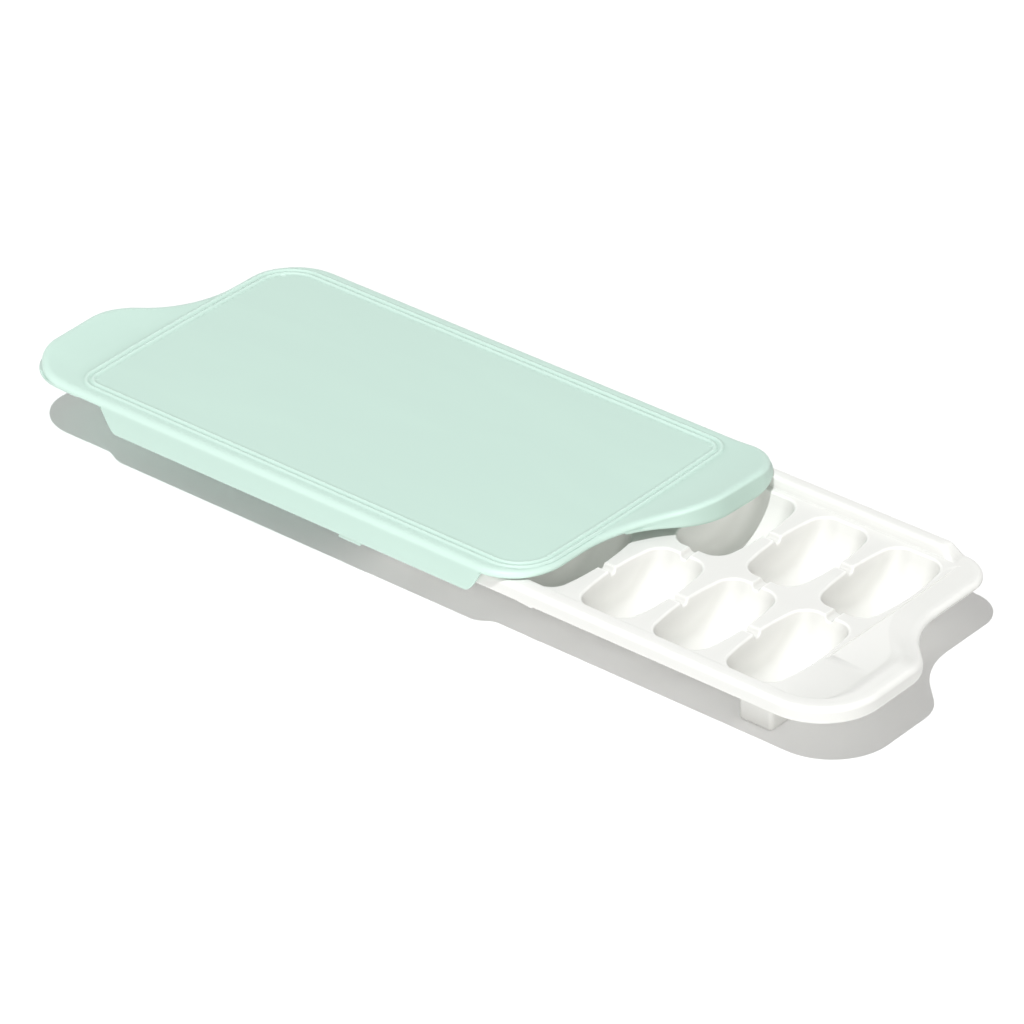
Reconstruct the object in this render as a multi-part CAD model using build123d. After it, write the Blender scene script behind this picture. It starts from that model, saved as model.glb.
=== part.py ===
from build123d import *
import os
from math import tan, radians

# Freezer tray for baby food: a tray with two rows of half-moon cups, and a cover that slides
# along it. Millimetres, +Z up, X along the slide. The tray and the cover are each alike when
# turned half a turn about Z. The origin is on the floor, below the middle of the tray and the
# half-drawn cover together. "Right" is +X and "back" is +Y.

# Cups
column_count = 6
column_pitch = 35.0
cup_length = 52.4            # along Y, at the deck
cup_width = 29.2             # along X, at half its length
cup_end_width = 23.0         # along X, where the bowed sides would meet the cup's ends
cup_depth = 19.5
cup_draft = 9.0              # degrees that a side wall leans
cup_edge_radius = 6.5        # where the sides run into the half-moon bottom
cup_lip_radius = 0.8
row_gap = 5.8                # deck between the two rows of cups
wall = 1.5

# Deck
foot_height = 1.5            # from the floor to the underside of a cup
deck_thickness = 2.0
cup_margin = 0.2             # deck past a cup's outer wall
overflow_radius = 2.0        # half-round channel from cup to cup
saddle_width = 7.0           # thicker deck under an overflow channel
end_margin = 2.9             # deck past the last cup, up to the end flange
crease_radius = 0.6          # groove where the deck ends
crease_depth = 0.4
crease_length = 78.0
crease_inset = 1.7           # groove line to the edge of the deck
crease_end_gap = 3.0         # groove's outer end to the edge of the deck

# Rim
rim_rise = 3.8               # rim top above the deck
rim_height = 6.7             # rim top to the lower edge of its skirt
rim_wall = 2.0
rim_foot = 0.9               # flat between a cup tile and the rim's inner slope
rim_slope = 1.3              # width of the inner slope
rim_slope_wall = 1.6
rim_top = 7.1                # width of the rim's top
rim_outer_radius = 2.0
rim_inner_radius = 1.5
rim_edge_radius = 0.4
detent_depth = 0.8
detent_length = 9.0
detent_centre = 10.5         # from the tray's middle

# Tray ends
flange_reach = 11.3          # end flange past the deck, on the side with no ear
ear_reach = 21.0             # ear past that flange
flange_corner_radius = 17.0
ear_corner_radius = 27.0
ear_tip_radius = 20.0
ear_root_radius = 35.0
ear_root_offset = 12.9       # where the ear's edge meets the flange's edge, from the middle
ear_tip_offset = 10.2        # where the ear's end turns to its slanted edge, from the middle
ear_slope = 8.5              # width of the ear's gentle inner slope
ear_rim_top = 6.5
ear_pocket_width = 3.5       # hollow under the ear's rim
rim_fall_length = 13.0       # over which the rim comes down at the flange's corner
rim_fall_radius = 14.0
ear_fall_length = 28.0       # over which the ear's rim comes down along its slanted edge
ear_fall_margin = 5.0
ear_fall_radius = 40.0
scoop_length = 14.0          # slope from the deck's end up to the ear's rim
end_zone = 8.0               # the end piece takes this much of the rim beside the deck's end

# Feet
foot_width = 16.0
foot_depth = 15.0
foot_from_end = 6.4          # foot to the edge of the deck
foot_inset = 13.3            # outer face of a foot below an ear, from the tray's outer face
foot_plain_inset = 19.0      # the same for a foot at a corner with no ear
foot_plain_depth = 12.0
foot_wall = 1.6
foot_radius = 2.0
foot_edge_radius = 1.4

# Cover
cover_gap_side = 1.2
cover_gap_top = 1.5
cover_thickness = 2.0
cover_lip_drop = 0.8         # cover's edge below its underside, where there is no skirt
cover_skirt_drop = 2.9       # cover's skirt below the rim's skirt
cover_end_overlap = 3.5      # cover past the tray's flange
cover_ear_reach = 23.7
cover_ear_lift = 5.8         # ear's crest above the panel
cover_ear_bend = 9.0         # the panel starts to bend this far inside its end
cover_ear_root_offset = 12.5
cover_ear_tip_offset = 15.5
cover_corner_radius = 24.0
cover_ear_root_radius = 60.0
cover_ear_tip_radius = 34.0
cover_ear_corner_radius = 19.0
cover_edge_radius = 2.2
lip_gap = 2.2                # lowest stretch of an ear's lip above the deck
lip_outer_inset = 12.0       # where the lip starts to drop further, from the cover's side
lip_low_outer_inset = 22.0   # its lowest stretch, from the cover's side
lip_low_inner_inset = 38.0
lip_inner_inset = 81.5       # where the lip ends, from the cover's side
lip_inner_rise = 0.7         # its end above the cover's underside
lip_corner_radius = 6.0
lip_bend_radius = 30.0
skirt_end = 99.5             # slanted end of a skirt, at its top
skirt_slant = 7.0
skirt_corner_radius = 5.0
bead_inset = 4.7             # bead's outer edge from the cover's side
bead_end_inset = 1.2         # bead's outer edge from the cover's end
bead_width = 5.6
bead_height = 0.7
bead_round = 0.5
bead_groove_width = 1.2      # groove along the middle of the bead
bead_groove_depth = 0.4
bead_corner_radius = 19.0
bead_ear_corner_radius = 10.0
hook_width = 11.0
hook_offset = 32.0           # hook from the cover's middle
hook_thickness = 3.2
hook_setback = 0.5           # hook's face behind the skirt's
hook_gap = 0.5               # hook below the detent
hook_reach = 5.5
hook_edge_radius = 0.45
cover_drawn = 128.0          # how far the cover is drawn off the closed place

# Cutting tools
past = 5.0                   # how far a tool reaches past what it cuts
touch = 0.02                 # edges this close to a line count as lying on it

# Heights
cup_floor = foot_height + wall
deck_z = cup_floor + cup_depth
deck_under = deck_z - deck_thickness
saddle_under = deck_under - deck_thickness
rim_z = deck_z + rim_rise
skirt_z = rim_z - rim_height
cover_under = rim_z + cover_gap_top
cover_z = cover_under + cover_thickness
cover_edge_z = cover_under - cover_lip_drop
cover_skirt_z = skirt_z - cover_skirt_drop
cover_top_z = cover_z + 2 * cover_ear_lift
lip_z = deck_z + lip_gap
detent_z = skirt_z - detent_depth
hook_z = detent_z - hook_gap

# Plan
last_column = column_count - 1
row_centre = (row_gap + cup_length) / 2
tile_edge = row_gap / 2 + cup_length + wall + cup_margin
slope_start = tile_edge + rim_foot
slope_end = slope_start + rim_slope
half_width = slope_end + rim_top
deck_end = last_column / 2 * column_pitch + cup_width / 2 + end_margin
rail_end = deck_end - end_zone
flange_end = deck_end + flange_reach
ear_end = flange_end + ear_reach
cover_half_width = half_width + cover_gap_side + rim_wall
cover_end = flange_end + cover_end_overlap
cover_ear_end = cover_end + cover_ear_reach

# Where the tray and the cover stand
origin_shift = (cover_drawn + cover_ear_end - ear_end) / 2
tray_place = Pos(origin_shift, 0, 0)
cover_place = Pos(origin_shift - cover_drawn, 0, 0)
half_turn = Rot(0, 0, 180)


def block(x0, x1, y0, y1, z0, z1):
    """A box between two corners."""
    size = Box(x1 - x0, abs(y1 - y0), z1 - z0)
    return Pos((x0 + x1) / 2, (y0 + y1) / 2, (z0 + z1) / 2) * size


def prism_along_y(points, radii, y0, y1):
    """Extrudes a rounded outline drawn in X and Z from y0 to y1."""
    face = make_face(Plane.XZ * FilletPolyline(*points, radius=radii, close=True))
    return Pos(0, y0, 0) * extrude(face, y1 - y0, dir=(0, 1, 0))


def prism_along_x(points, radii, x0, x1):
    """Extrudes a rounded outline drawn in Y and Z from x0 to x1."""
    face = make_face(Plane.YZ * FilletPolyline(*points, radius=radii, close=True))
    return Pos(x0, 0, 0) * extrude(face, x1 - x0, dir=(1, 0, 0))


def rounded_face(points, radii, inset):
    """The face inside a rounded plan outline, drawn in from its edge by inset."""
    face = make_face(FilletPolyline(*points, radius=radii, close=True))
    return offset(face, -inset) if inset else face


def top_edges_on(outline, shape, low, left):
    """The edges of shape that run along an outline seen from above, higher than low, right of left."""
    found = []
    for edge in shape.edges():
        middle = edge @ 0.5
        start = edge @ 0
        upright = abs((edge % 0.5).Z) > 0.9
        if upright or min(middle.Z, start.Z) < low or middle.X < left:
            continue
        gaps = [outline.distance_to(Vertex(point.X, point.Y, 0)) for point in (middle, start)]
        if max(gaps) < touch:
            found.append(edge)
    return found


def column_x(column):
    """The middle of a column of cups, counted from 0 at the left."""
    return (column - last_column / 2) * column_pitch


def cup_form(grow):
    """The half-moon form of a cup about its own middle, grown by a wall if asked."""
    half = cup_length / 2
    moon_radius = (half**2 + cup_depth**2) / (2 * cup_depth) + grow
    moon_centre = cup_floor + moon_radius - grow
    side = cup_width / 2 + grow
    end = cup_end_width / 2 + grow
    top = (deck_z + moon_centre) / 2
    lean = tan(radians(cup_draft)) * (top - deck_z)
    reach = moon_radius + past
    bow = (side - end) * (reach / half) ** 2
    right = ThreePointArc((side + lean - bow, -reach), (side + lean, 0), (side + lean - bow, reach))
    left = ThreePointArc((bow - side - lean, reach), (-side - lean, 0), (bow - side - lean, -reach))
    ends = [Line(right @ 1, left @ 0), Line(left @ 1, right @ 0)]
    plan = Pos(0, 0, top) * make_face(Curve() + [right, left] + ends)
    sides = extrude(plan, cup_floor - top - 2 * grow - past, taper=cup_draft)
    moon = Pos(0, 0, moon_centre) * Rot(0, 90, 0) * Cylinder(moon_radius, 4 * cup_width)
    form = sides & moon
    runs = form.edges().filter_by(GeomType.BSPLINE)
    return fillet(runs, cup_edge_radius + grow)


def is_cup_rim(edge, middle):
    """True for the edges where a cup opens in the deck."""
    box = edge.bounding_box()
    level = abs(box.min.Z - deck_z) < touch and abs(box.max.Z - deck_z) < touch
    across = abs(box.center().X) < cup_width / 2 + touch
    along = abs(box.center().Y - middle) < cup_length / 2 + touch
    return level and across and along


def crease():
    """The groove where the deck ends on the right, as a cutting tool. It fades out near the ear."""
    middle = tile_edge - crease_end_gap - crease_length / 2
    rod = Rot(90, 0, 0) * Cylinder(crease_radius, crease_length)
    for end in (-crease_length / 2, crease_length / 2):
        rod += Pos(0, end, 0) * Sphere(crease_radius)
    return Pos(deck_end - crease_inset, middle, deck_z + crease_radius - crease_depth) * rod


def cup_tile(column, side):
    """One cup with its piece of deck. side is -1 in the front row and 1 in the back row."""
    end = cup_width / 2 + end_margin
    low = -column_pitch / 2 if column > 0 else -end
    high = column_pitch / 2 if column < last_column else end
    channel_low = low if column > 0 else 0
    channel_high = high if column < last_column else 0
    middle = side * row_centre
    half = saddle_width / 2

    # The deck, the cup's shell below it, and thicker deck where the channels run
    tile = block(low, high, 0, side * tile_edge, deck_under, deck_z)
    shell = Pos(0, middle, 0) * cup_form(wall)
    tile += shell & block(-column_pitch, column_pitch, -half_width, half_width, 0, deck_z)
    tile += block(channel_low, channel_high, middle - half, middle + half, saddle_under, deck_under)
    tile += block(-half, half, 0, middle, saddle_under, deck_under)

    # The cup's hollow, its rounded lip, and the channels to the cups beside and across from it
    tile -= Pos(0, middle, 0) * cup_form(0)
    tile = fillet([edge for edge in tile.edges() if is_cup_rim(edge, middle)], cup_lip_radius)
    beside = Rot(0, 90, 0) * Cylinder(overflow_radius, channel_high - channel_low)
    tile -= Pos((channel_low + channel_high) / 2, middle, deck_z) * beside
    across = Rot(90, 0, 0) * Cylinder(overflow_radius, row_centre)
    tile -= Pos(0, middle / 2, deck_z) * across

    tile = Pos(column_x(column), 0, 0) * tile
    if column == last_column:
        tile -= crease()
    if column == 0:
        tile -= half_turn * crease()
    return tile


def back_rail():
    """The rim between the two end pieces, an upside-down U with a sloped inner side and a detent."""
    inside = half_width - rim_wall
    under = rim_z - rim_wall
    small = rim_edge_radius
    section = [
        (tile_edge, deck_under),
        (tile_edge, deck_z),
        (slope_start, deck_z),
        (slope_end, rim_z),
        (half_width, rim_z),
        (half_width, skirt_z),
        (inside, skirt_z),
        (inside, under),
        (slope_end + rim_slope_wall, under),
        (slope_start + rim_slope_wall, deck_under),
    ]
    radii = [0, 0, rim_foot, rim_inner_radius, rim_outer_radius, small, small, small, small, 0]
    body = prism_along_x(section, radii, -rail_end, rail_end)
    near = detent_centre - detent_length / 2
    far = detent_centre + detent_length / 2
    buried = skirt_z + 2 * small
    ramp = [(near, buried), (near, detent_z), (far, skirt_z), (far, buried)]
    return body + prism_along_y(ramp, [0, 0, 0, 0], inside + small, half_width - small)


def tray_end_plan(inset=0):
    """The right half of the tray in plan, drawn in from its edge by inset."""
    points = [
        (-half_width, -half_width),
        (ear_end, -half_width),
        (ear_end, -ear_tip_offset),
        (flange_end, ear_root_offset),
        (flange_end, half_width),
        (-half_width, half_width),
    ]
    radii = [0, ear_corner_radius, ear_tip_radius, ear_root_radius, flange_corner_radius, 0]
    return rounded_face(points, radii, inset)


def end_space():
    """Where the right end piece is: past the deck's end, and beside it on the rim's last stretch."""
    side = half_width + past
    top = rim_z + past
    space = block(deck_end, ear_end + past, -side, side, 0, top)
    space += block(rail_end, deck_end, tile_edge, side, 0, top)
    return space + block(rail_end, deck_end, -side, -tile_edge, 0, top)


def end_limit(drop):
    """All that lies below the top of the tray's right end, lowered by drop."""
    high = rim_z - drop
    low = deck_z - drop
    side = half_width + past
    end = ear_end + past
    fall_end = ear_root_offset - ear_fall_margin
    along = [
        (-half_width, 0),
        (-half_width, high),
        (rail_end, high),
        (rail_end + rim_fall_length, low),
        (end, low),
        (end, 0),
    ]
    across = [
        (-side, 0),
        (-side, high),
        (fall_end - ear_fall_length, high),
        (fall_end, low),
        (side, low),
        (side, 0),
    ]
    flange = prism_along_y(along, [0, 0, rim_fall_radius, rim_fall_radius, 0, 0], -side, side)
    ear = prism_along_x(across, [0, 0, ear_fall_radius, ear_fall_radius, 0, 0], -half_width, end)
    return flange + ear


def tray_end():
    """The tray's right end: a low flange at the back, and at the front an ear with a raised rim."""
    plan = tray_end_plan()
    body = extrude(Pos(0, 0, skirt_z) * plan, rim_height) & end_limit(0)
    body = fillet(top_edges_on(plan.wire(), body, deck_z - touch, 0), rim_outer_radius)

    # The dish inside the ear's rim, and the slope from the deck's end up to it
    lower = Pos(0, 0, deck_z) * tray_end_plan(ear_rim_top + ear_slope)
    upper = Pos(0, 0, rim_z) * tray_end_plan(ear_rim_top)
    body -= loft([lower.face(), upper.face()])
    scoop = [
        (-half_width, deck_z),
        (deck_end, deck_z),
        (deck_end + scoop_length, rim_z),
        (-half_width, rim_z),
    ]
    body -= prism_along_y(scoop, [0, 0, 0, 0], -slope_start, slope_start)

    # The hollow underside, deeper below the rim
    hollow = extrude(Pos(0, 0, skirt_z) * tray_end_plan(rim_wall), rim_height)
    panel = extrude(Pos(0, 0, skirt_z) * tray_end_plan(rim_wall + ear_pocket_width), rim_height)
    low = block(-half_width, ear_end, -half_width, half_width, skirt_z, deck_under)
    body -= (hollow - panel) & end_limit(rim_wall)
    body -= hollow & low
    return body & end_space()


def foot(side, inset, depth):
    """A box leg under the deck, open towards the tray's middle. side is -1 in front."""
    far = deck_end - foot_from_end
    near = far - foot_width
    face = side * (half_width - inset)
    back = face - side * depth
    leg = block(near, far, face, back, 0, deck_under)
    leg = fillet(leg.edges().filter_by(Axis.Z), foot_radius)
    leg = fillet(leg.faces().sort_by(Axis.Z)[0].edges(), foot_edge_radius)
    inner_face = face - side * foot_wall
    leg -= block(near + foot_wall, far - foot_wall, inner_face, back, foot_wall, deck_under)
    for column in (last_column - 1, last_column):
        leg -= Pos(column_x(column), side * row_centre, 0) * cup_form(wall)
    return leg


def cover_plan(inset=0):
    """The cover in plan, from its own middle, drawn in from its edge by inset."""
    right = [
        (cover_end, -cover_half_width),
        (cover_end, -cover_ear_root_offset),
        (cover_ear_end, cover_ear_tip_offset),
        (cover_ear_end, cover_half_width),
    ]
    radii = [cover_corner_radius, cover_ear_root_radius, cover_ear_tip_radius, cover_ear_corner_radius]
    left = [(-x, -y) for x, y in right]
    return rounded_face(right + left, radii + radii, inset)


def cover_sheet(thickness):
    """The cover's sheet before it is trimmed: flat, and bent up towards both ears."""
    bend_start = cover_end - cover_ear_bend
    run = cover_ear_end - bend_start
    radius = (run**2 + cover_ear_lift**2) / (2 * cover_ear_lift)
    side = cover_half_width + past
    low = cover_z - thickness
    flat = block(-bend_start, bend_start, -side, side, low, cover_z)
    axis = Pos(bend_start, 0, cover_z + radius) * Rot(90, 0, 0)
    ring = axis * Cylinder(radius + thickness, 2 * side)
    ring -= axis * Cylinder(radius, 2 * side)
    bend = ring & block(bend_start, cover_ear_end + past, -side, side, low, cover_z + radius)
    return flat + bend + half_turn * bend


def skirt_space():
    """Where the front skirt may be: both its ends are slanted, with rounded lower corners."""
    top = cover_under + cover_thickness / 2
    low_end = skirt_end - skirt_slant
    outline = [
        (-skirt_end, top),
        (-low_end, cover_skirt_z),
        (low_end, cover_skirt_z),
        (skirt_end, top),
    ]
    radii = [0, skirt_corner_radius, skirt_corner_radius, 0]
    return prism_along_y(outline, radii, -cover_half_width - past, -half_width)


def lip_space():
    """Where the right ear's lip may be: level round the corner, and lower along the ear's end."""
    side = cover_half_width
    drop = [
        (side + past, cover_edge_z),
        (side - lip_outer_inset, cover_edge_z),
        (side - lip_low_outer_inset, lip_z),
        (side - lip_low_inner_inset, lip_z),
        (side - lip_inner_inset, cover_under + lip_inner_rise),
        (side - lip_inner_inset, cover_top_z),
        (side + past, cover_top_z),
    ]
    radii = [0, lip_corner_radius, lip_corner_radius, lip_bend_radius, 0, 0, 0]
    return prism_along_x(drop, radii, cover_end - cover_ear_bend, cover_ear_end + past)


def bead_ring(outer, inner):
    """A flat ring along the bead, between two distances from the bead's outer edge."""
    end = cover_end - bead_end_inset
    side = cover_half_width - bead_inset
    corners = [(end, -side), (end, side), (-end, side), (-end, -side)]
    radii = [bead_corner_radius, bead_ear_corner_radius] * 2
    return rounded_face(corners, radii, outer) - rounded_face(corners, radii, inner)


def bead():
    """The raised ring on the cover's panel, with a groove along its middle."""
    root = cover_thickness / 2
    top = cover_z + bead_height
    body = extrude(Pos(0, 0, cover_z - root) * bead_ring(0, bead_width), bead_height + root)
    body = fillet(body.faces().sort_by(Axis.Z)[-1].edges(), bead_round)
    near = (bead_width - bead_groove_width) / 2
    groove = bead_ring(near, near + bead_groove_width)
    return body - extrude(Pos(0, 0, top - bead_groove_depth) * groove, bead_height)


def hook():
    """The tab below the front skirt that reaches in under the tray's rim."""
    face = -cover_half_width
    low = hook_offset - hook_width / 2
    high = hook_offset + hook_width / 2
    bottom = hook_z - hook_thickness
    tab = block(low, high, face + hook_setback, face + hook_reach, bottom, hook_z)
    return fillet(tab.edges().filter_by(Axis.X), hook_edge_radius)


def cover():
    """The cover about its own middle: sheet, skirts, the ears' lips, bead and hooks."""
    plan = cover_plan()
    depth = cover_top_z - cover_skirt_z
    prism = extrude(Pos(0, 0, cover_skirt_z) * plan, depth)
    edge_wall = prism - extrude(Pos(0, 0, cover_skirt_z) * cover_plan(rim_wall), depth)
    space = skirt_space() + lip_space()
    walls = edge_wall & cover_sheet(cover_z - cover_skirt_z) & (space + half_turn * space)
    walls += edge_wall & cover_sheet(cover_z - cover_edge_z)
    body = (prism & cover_sheet(cover_thickness)) + walls
    body = fillet(top_edges_on(plan.wire(), body, cover_z - touch, -cover_ear_end), cover_edge_radius)
    return body + bead() + hook() + half_turn * hook()


def write(name, shape, place):
    """Puts one piece where it stands and writes its file."""
    export_step(place * shape, f"parts/{name}.step")


os.makedirs("parts", exist_ok=True)
for number in range(1, column_count + 1):
    write(f"cup_front_{number}", cup_tile(number - 1, -1), tray_place)
    write(f"cup_back_{number}", cup_tile(number - 1, 1), tray_place)
write("rim_back", back_rail(), tray_place)
write("rim_front", half_turn * back_rail(), tray_place)
write("end_right", tray_end(), tray_place)
write("end_left", half_turn * tray_end(), tray_place)
ear_foot = foot(-1, foot_inset, foot_depth)
plain_foot = foot(1, foot_plain_inset, foot_plain_depth)
write("foot_front_right", ear_foot, tray_place)
write("foot_back_right", plain_foot, tray_place)
write("foot_back_left", half_turn * ear_foot, tray_place)
write("foot_front_left", half_turn * plain_foot, tray_place)
write("sliding_cover", cover(), cover_place)
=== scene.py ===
import bpy
import bmesh
from math import atan2, cos, hypot, pi, radians, sin, tan
from mathutils import Matrix, Vector


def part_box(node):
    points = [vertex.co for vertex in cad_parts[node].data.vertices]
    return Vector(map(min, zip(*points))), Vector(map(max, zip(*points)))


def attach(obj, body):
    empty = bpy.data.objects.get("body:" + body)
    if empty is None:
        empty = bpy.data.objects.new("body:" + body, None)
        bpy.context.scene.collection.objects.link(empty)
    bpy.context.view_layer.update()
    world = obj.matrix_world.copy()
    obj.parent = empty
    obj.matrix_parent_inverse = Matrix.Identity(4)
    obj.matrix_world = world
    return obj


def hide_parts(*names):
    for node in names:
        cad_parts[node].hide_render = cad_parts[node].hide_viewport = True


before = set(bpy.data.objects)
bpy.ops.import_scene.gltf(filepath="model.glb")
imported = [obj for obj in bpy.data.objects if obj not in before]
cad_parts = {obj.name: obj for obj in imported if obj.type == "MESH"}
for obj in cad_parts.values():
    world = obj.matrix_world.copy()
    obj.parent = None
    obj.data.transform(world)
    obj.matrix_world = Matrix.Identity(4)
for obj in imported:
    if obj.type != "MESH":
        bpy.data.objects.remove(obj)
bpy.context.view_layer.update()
bpy.ops.object.select_all(action='DESELECT')
mm = 0.001  # sizes are in millimetres, and become metres when a piece is placed
weldDistance = 0.005
sharpAngle = 50  # degrees between two faces, past which their edge stays sharp
roundMiddle = 0.3  # the middle of a small rounding lies this share of its radius inside the corner

# The tray stands at trayX along the slide and the cover, at rest, at coverX.
trayLow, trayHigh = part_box("end_left")[0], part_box("end_right")[1]
coverLow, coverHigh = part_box("sliding_cover")
trayX = (trayLow.x + trayHigh.x) / 2 / mm
coverX = (coverLow.x + coverHigh.x) / 2 / mm
trayEnd = trayHigh.x / mm - trayX
traySide = trayHigh.y / mm
coverEnd = coverHigh.x / mm - coverX
coverSide = coverHigh.y / mm


# Small helpers
def ease(low, high, value):  # 0 before low, 1 after high, smooth between; low may be the larger
    t = min(max((value - low) / (high - low), 0), 1)
    return t * t * (3 - 2 * t)


def clamp(value, limit):  # keeps a value between -limit and limit
    return min(max(value, -limit), limit)


def softMax(a, b, size):  # the larger of two, with a rounding where they cross
    near = max(size - abs(a - b), 0) / size
    return max(a, b) + near * near * size / 4


def softMin(a, b, size):
    return -softMax(-a, -b, size)


def solve(isInside, far):  # the distance at which isInside stops being true
    near = 0
    for halving in range(26):  # the answer is then good to a millionth of far
        middle = (near + far) / 2
        if isInside(middle):
            near = middle
        else:
            far = middle
    return near


# Cover and tray look the same after half a turn, so what differs along an end is worked out for
# the right one: this is a point's place along it.
def alongEnd(point):
    return point.y if point.x > 0 else -point.y


def halfTurned(corners):  # a right-hand half outline and the same half turned to the left
    return corners + [(-x, -y) for x, y in corners]


def arcStations(corners, k, radius, spacing):
    corner = Vector(corners[k])
    arriving = (corner - Vector(corners[k - 1])).normalized()
    leaving = (Vector(corners[(k + 1) % len(corners)]) - corner).normalized()
    turn = atan2(arriving.x * leaving.y - arriving.y * leaving.x, arriving.dot(leaving))
    side = 1 if turn > 0 else -1
    start = corner - arriving * radius * tan(abs(turn) / 2)
    centre = start + Vector((-arriving.y, arriving.x)) * radius * side
    steps = max(4, round(abs(turn) * radius / spacing))  # even a small arc stays round
    stations = []
    for step in range(steps + 1):
        spoke = Matrix.Rotation(turn * step / steps, 2) @ (start - centre)
        stations.append((centre + spoke, -spoke.normalized() * side))
    return stations


# Stations along a rounded outline, anticlockwise, each a point and the direction inwards.
def outlineStations(corners, radii, spacing):
    arcs = [arcStations(corners, k, radius, spacing) for k, radius in enumerate(radii)]
    stations = []
    for arc, nextArc in zip(arcs, arcs[1:] + arcs[:1]):
        start, end = arc[-1][0], nextArc[0][0]
        steps = max(1, round((end - start).length / spacing))
        stations += arc
        stations += [(start.lerp(end, step / steps), arc[-1][1]) for step in range(1, steps)]
    return stations


def refined(stations, isFine, parts):  # splits the stretches where isFine holds
    result = []
    for k, (point, inwards) in enumerate(stations):
        nextPoint = stations[(k + 1) % len(stations)][0]
        steps = parts if isFine((point + nextPoint) / 2) else 1
        result += [(point.lerp(nextPoint, step / steps), inwards) for step in range(steps)]
    return result


# A point of a rounded rectangle beside a station, drawn in from its edge.
def rectanglePoint(point, halfLength, halfWidth, radius, inset):
    core = Vector((clamp(point.x, halfLength - radius), clamp(point.y, halfWidth - radius)))
    return core + (point - core).normalized() * (radius - inset)


def selectOnly(pieces):
    bpy.ops.object.select_all(action='DESELECT')
    for piece in pieces:
        piece.select_set(True)
    bpy.context.view_layer.objects.active = pieces[0]


def placeRing(piece, ring):
    mesh = bmesh.from_edit_mesh(piece.data)
    station = mesh.verts.layers.int["station"]
    for vert in mesh.verts:
        if vert.select:
            vert.co = Vector(ring[vert[station]]) * mm
    bmesh.update_edit_mesh(piece.data)


# Draws a surface ring by ring: the first is a circle pulled into shape, the others are extruded.
def loftRings(name, rings, capFirst=False, capLast=False):
    bpy.ops.mesh.primitive_circle_add(vertices=len(rings[0]), fill_type='NOTHING')
    piece = bpy.context.object
    piece.name = name
    numbers = piece.data.attributes.new("station", 'INT', 'POINT')
    numbers.data.foreach_set("value", range(len(rings[0])))
    bpy.ops.object.mode_set(mode='EDIT')
    bpy.ops.mesh.select_all(action='SELECT')
    placeRing(piece, rings[0])
    if capFirst:
        bpy.ops.mesh.edge_face_add()
    for ring in rings[1:]:
        bpy.ops.mesh.extrude_edges_move()
        placeRing(piece, ring)
    if capLast:
        bpy.ops.mesh.edge_face_add()
    bpy.ops.mesh.select_all(action='DESELECT')
    bpy.ops.object.mode_set(mode='OBJECT')
    return piece


def joinPieces(name, pieces):
    selectOnly(pieces)
    bpy.ops.object.join()
    joined = bpy.context.object
    joined.name = name
    return joined


def weld(piece):
    selectOnly([piece])
    bpy.ops.object.mode_set(mode='EDIT')
    bpy.ops.mesh.select_all(action='SELECT')
    bpy.ops.mesh.remove_doubles(threshold=weldDistance * mm)
    bpy.ops.object.mode_set(mode='OBJECT')


def finishShape(piece, x):  # welds, turns the faces out, sets the place and the smoothing
    weld(piece)
    bpy.ops.object.mode_set(mode='EDIT')
    bpy.ops.mesh.select_all(action='SELECT')
    bpy.ops.mesh.normals_make_consistent(inside=False)
    bpy.ops.mesh.select_all(action='DESELECT')
    bpy.ops.object.mode_set(mode='OBJECT')
    piece.location.x = x * mm
    bpy.ops.object.transform_apply(location=True, rotation=True, scale=True)
    bpy.ops.object.shade_smooth_by_angle(angle=radians(sharpAngle))
    piece.data.attributes.remove(piece.data.attributes["station"])
    piece.select_set(False)


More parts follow.
